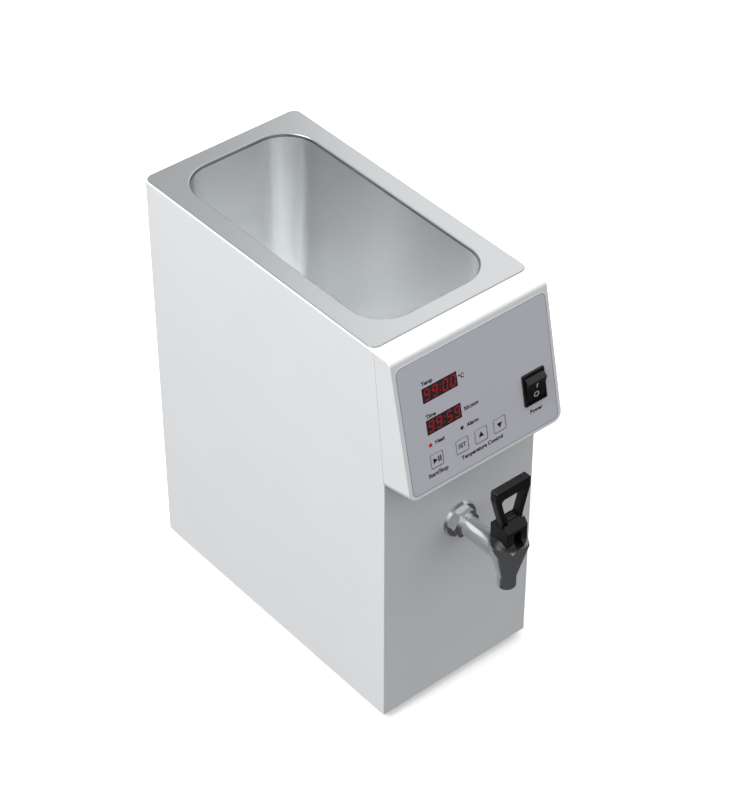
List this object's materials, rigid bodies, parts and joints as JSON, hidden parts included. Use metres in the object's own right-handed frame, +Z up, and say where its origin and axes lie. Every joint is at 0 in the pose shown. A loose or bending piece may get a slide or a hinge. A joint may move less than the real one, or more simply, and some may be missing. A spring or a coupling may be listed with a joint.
{
  "type": "water bath",
  "caption": "Narrow benchtop water bath: tall painted cabinet, deep open stainless tank, tilted control housing with displays, keys and rocker switch, and a lever drain tap at the front",
  "frame": {"origin": "centre of the bounding box in plan, on the bench under the feet", "axes": "+Z up, -Y to the front with the tap and controls, +X to the right as seen from the front"},
  "size_m": [0.176, 0.422, 0.4322],
  "materials": {
    "cabinet_paint": "fine satin powder coat",
    "base_steel": "galvanised sheet",
    "deck_steel": "brushed stainless",
    "tank_steel": "drawn stainless",
    "housing_paint": "fine satin powder coat",
    "overlay_film": "satin printed film",
    "key_grey": "satin",
    "filter_red": "dark tinted filter",
    "black_plastic": "satin black",
    "gloss_black": "gloss black",
    "lamp_red": "tinted lens",
    "rubber_black": "matte",
    "chrome": "polished plate",
    "plated_steel": "zinc plated",
    "mineral_wool": "fibrous",
    "circuit_board": "solder mask",
    "tinned_brass": "plated"
  },
  "bodies": {
    "cabinet": {"casing_wrap": "cabinet_paint", "front_panel": "cabinet_paint", "base_plate": "base_steel", "rubber_feet": "rubber_black", "foot_screws": "plated_steel", "foot_nuts": "plated_steel", "top_deck": "deck_steel", "deck_gasket": "rubber_black", "bath_tank": "tank_steel", "insulation_jacket": "mineral_wool", "heating_mat": "rubber_black", "heater_clamp_plate": "base_steel", "insulation_base": "mineral_wool", "clamp_studs": "plated_steel", "temperature_probe": "tank_steel", "overheat_cutout": "plated_steel", "tap_flange_washer": "chrome", "tap_hex_nut": "chrome", "tap_gasket": "rubber_black", "tap_back_nut": "chrome", "tap_body": "chrome", "tap_bonnet": "black_plastic", "tap_spring": "plated_steel", "control_housing": "housing_paint", "control_overlay": "overlay_film", "display_windows": "filter_red", "display_temperature": "gloss_black", "display_time": "gloss_black", "heat_lamp": "lamp_red", "alarm_lamp": "lamp_red", "control_board": "circuit_board", "tact_switches": "black_plastic", "board_spacers": "plated_steel", "board_screws": "plated_steel", "housing_screws": "plated_steel", "rocker_frame": "gloss_black", "rocker_pivot_pin": "plated_steel", "rocker_terminals": "tinned_brass", "power_board": "circuit_board", "power_transformer": "base_steel", "power_relay": "black_plastic", "terminal_block": "black_plastic", "power_board_spacers": "plated_steel", "power_board_screws": "plated_steel", "mains_inlet": "black_plastic", "inlet_contacts": "tinned_brass", "inlet_screws": "plated_steel"},
    "tap_handle": {"tap_handle": "black_plastic", "tap_handle_pin": "black_plastic", "tap_lift_fork": "black_plastic"},
    "tap_stem": {"tap_stem": "plated_steel", "tap_valve_cup": "rubber_black"},
    "rocker": {"rocker_button": "gloss_black"},
    "key_start_stop": {"key_start_stop": "key_grey"},
    "key_set": {"key_set": "key_grey"},
    "key_up": {"key_up": "key_grey"},
    "key_down": {"key_down": "key_grey"},
    "fuse_drawer": {"fuse_drawer": "black_plastic", "fuses": "tinned_brass"}
  },
  "joints": [
    {"name": "tap_handle_tip", "type": "hinge", "parent": "cabinet", "child": "tap_handle", "pos_m": [0, -0.19394, 0.2484], "axis": [1, 0, 0], "range_deg": [0, 28], "stiffness_Nm_per_rad": 0.3, "springref_deg": -5.73},
    {"name": "tap_stem_lift", "type": "slide", "parent": "cabinet", "child": "tap_stem", "axis": [0, 0, 1], "range_m": [0, 0.0026], "deforming": ["tap_spring"]},
    {"name": "rocker_tip", "type": "hinge", "parent": "cabinet", "child": "rocker", "pos_m": [0.0598, -0.15117, 0.33996], "axis": [1, 0, 0], "range_deg": [-29.2, 0]},
    {"name": "key_start_stop_press", "type": "slide", "parent": "cabinet", "child": "key_start_stop", "axis": [0, 0.9787, -0.2055], "range_m": [0, 0.0004], "stiffness_N_per_m": 1500},
    {"name": "key_set_press", "type": "slide", "parent": "cabinet", "child": "key_set", "axis": [0, 0.9787, -0.2055], "range_m": [0, 0.0004], "stiffness_N_per_m": 1500},
    {"name": "key_up_press", "type": "slide", "parent": "cabinet", "child": "key_up", "axis": [0, 0.9787, -0.2055], "range_m": [0, 0.0004], "stiffness_N_per_m": 1500},
    {"name": "key_down_press", "type": "slide", "parent": "cabinet", "child": "key_down", "axis": [0, 0.9787, -0.2055], "range_m": [0, 0.0004], "stiffness_N_per_m": 1500},
    {"name": "fuse_drawer_pull", "type": "slide", "parent": "cabinet", "child": "fuse_drawer", "axis": [0, 1, 0], "range_m": [0, 0.016]}
  ],
  "couplings": [
    {"joint": "tap_stem_lift", "follows": "tap_handle_tip", "m_per_rad": 0.00523}
  ]
}
